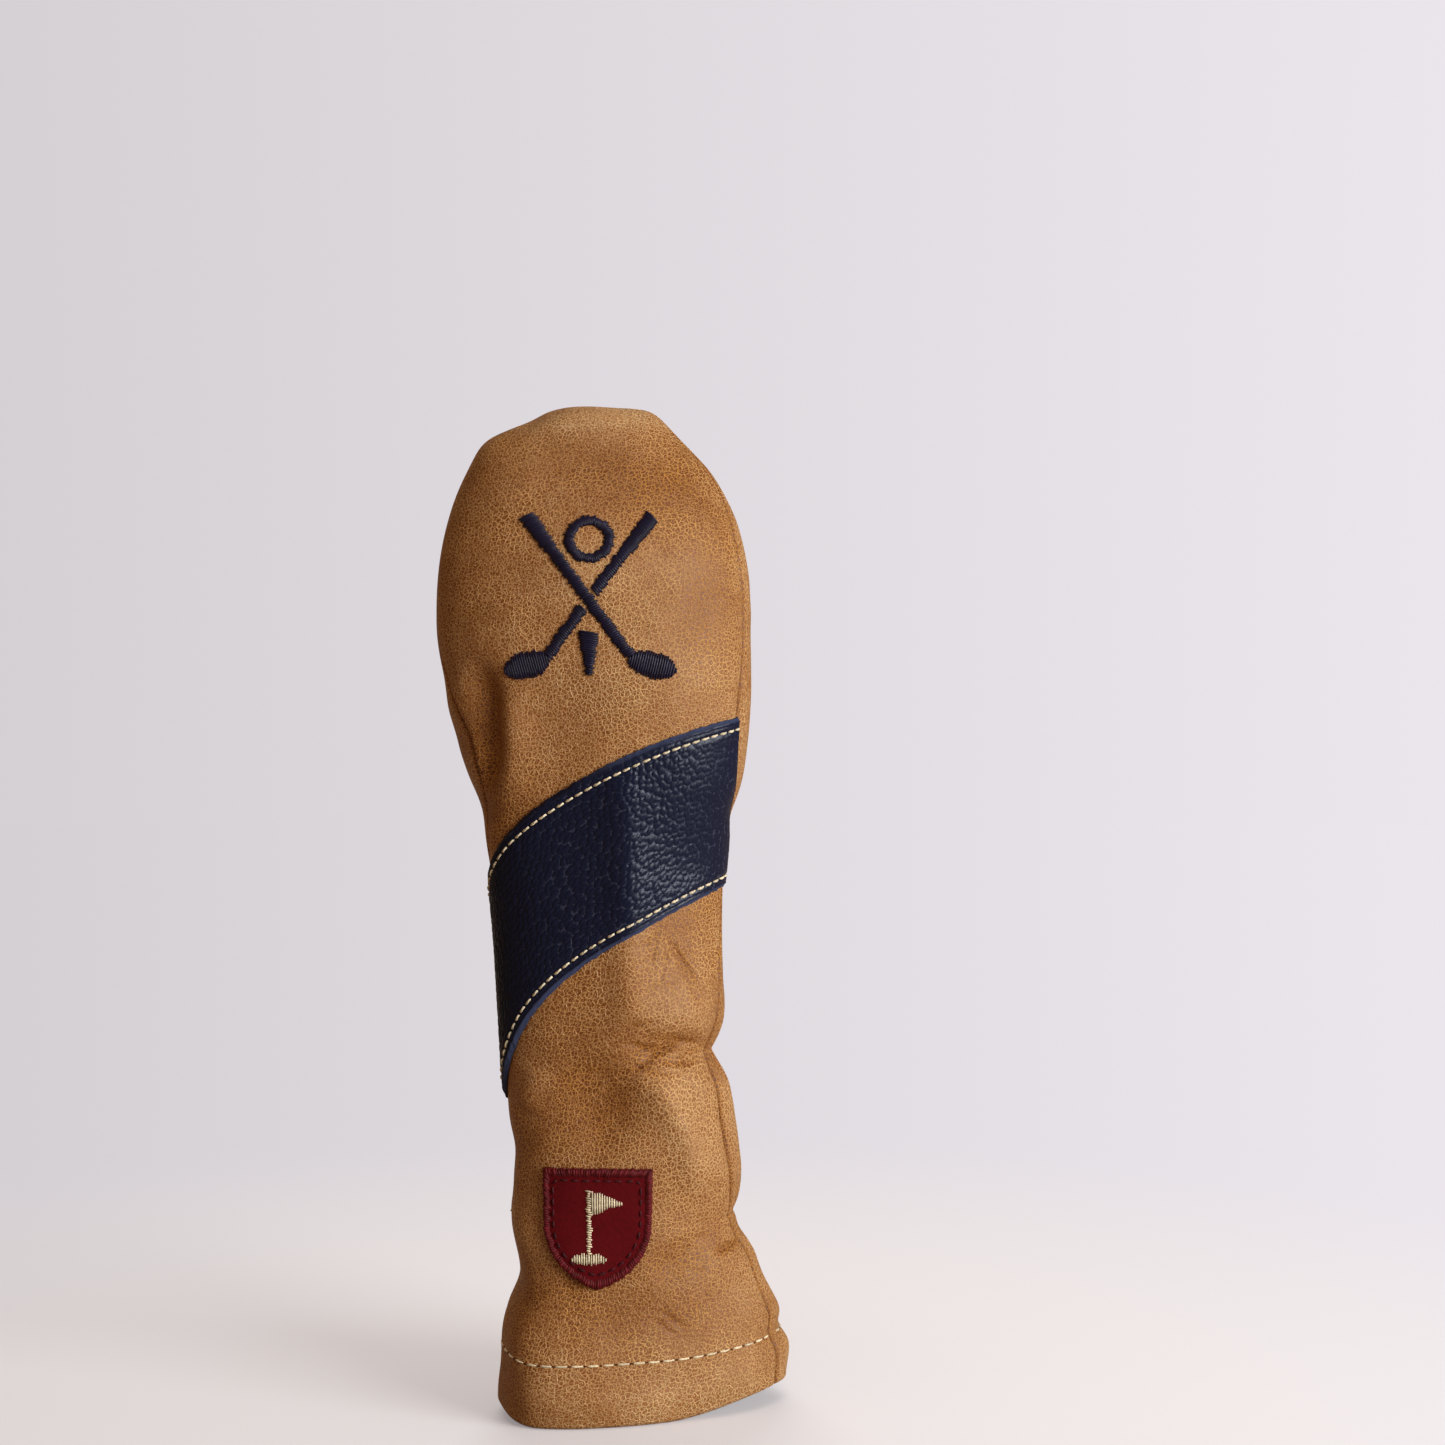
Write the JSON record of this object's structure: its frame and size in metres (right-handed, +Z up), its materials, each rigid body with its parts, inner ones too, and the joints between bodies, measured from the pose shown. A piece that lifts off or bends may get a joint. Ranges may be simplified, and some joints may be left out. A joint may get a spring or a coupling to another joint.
{
  "type": "golf club headcover",
  "caption": "Leather sleeve that covers the head of a hybrid golf club, with a rounded crown, a diagonal stripe, an elastic neck and an open, stitched hem.",
  "frame": {"origin": "centre of the open mouth, on the plane that the hem rests on", "axes": "+Z up from the mouth to the crown, -Y towards the front with the stripe, +X to the viewer's right of the front"},
  "size_m": [0.1005, 0.0603, 0.2841],
  "materials": {
    "tan_leather": "pull-up leather with a fine crackled grain and a soft sheen",
    "navy_leather": "pebbled leather, semi-gloss, with raw suede edges",
    "fleece": "short pile fleece",
    "cream_thread": "twisted waxed thread",
    "tan_thread": "twisted thread",
    "navy_thread": "satin-stitch embroidery thread",
    "elastic": "woven elastic",
    "stabiliser": "non-woven sheet",
    "red_twill": "twill weave",
    "red_thread": "overlocked thread",
    "dark_red_thread": "twisted thread"
  },
  "bodies": {
    "cover": {"front_panel": "tan_leather", "rear_crown_panel": "tan_leather", "front_lining": "fleece", "rear_crown_lining": "fleece", "stripe": "navy_leather", "stripe_upper_stitching": "cream_thread", "stripe_lower_stitching": "cream_thread", "front_hem_stitching": "cream_thread", "crown_seam_stitching": "tan_thread", "emblem_embroidery": "navy_thread", "emblem_backing": "stabiliser", "patch_twill": "red_twill", "patch_border": "red_thread", "patch_motif": "cream_thread", "patch_stitching": "dark_red_thread"},
    "rear_neck": {"rear_neck_panel": "tan_leather", "rear_neck_lining": "fleece", "upper_elastic": "elastic", "lower_elastic": "elastic", "upper_elastic_stitching": "tan_thread", "lower_elastic_stitching": "tan_thread", "rear_hem_stitching": "cream_thread"}
  },
  "joints": [
    {"name": "neck_stretch", "type": "hinge", "parent": "cover", "child": "rear_neck", "pos_m": [-0.009, 0.024, 0.107], "axis": [1, 0, 0], "range_deg": [0, 16], "stiffness_Nm_per_rad": 1.5, "springref_deg": -2.86}
  ]
}
